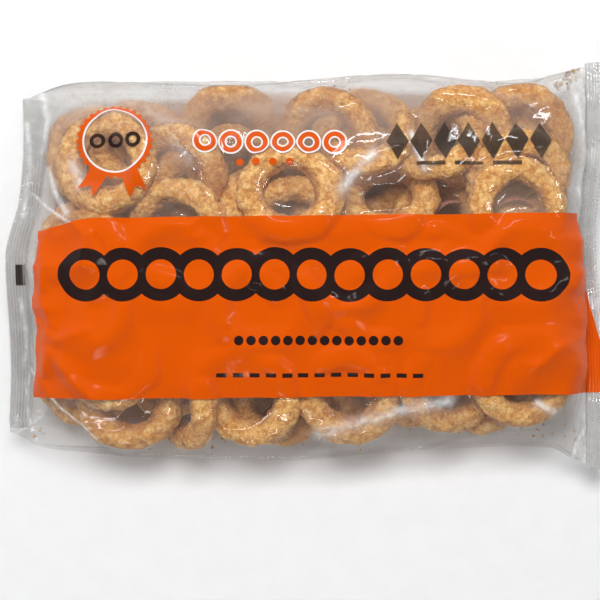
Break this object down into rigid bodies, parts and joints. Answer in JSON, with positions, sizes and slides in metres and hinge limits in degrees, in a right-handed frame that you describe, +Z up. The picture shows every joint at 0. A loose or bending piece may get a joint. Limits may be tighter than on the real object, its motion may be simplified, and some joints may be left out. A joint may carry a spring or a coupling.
{
  "type": "bag of frozen onion rings",
  "caption": "Clear film pillow bag of frozen crumbed onion rings, lying flat, sealed at both ends, with a plain orange printed band.",
  "frame": {"origin": "on the ground under the middle of the bag's bounding box", "axes": "+X along the bag from the left seal to the right one, +Y across it to its far long edge, +Z up out of the printed face"},
  "size_m": [0.372, 0.255, 0.06],
  "materials": {
    "film": "clear glossy film over golden crumb",
    "print": "opaque glossy ink",
    "crumb": "golden crumb coat"
  },
  "bodies": {
    "root": {"bag": "film"}
  },
  "joints": []
}
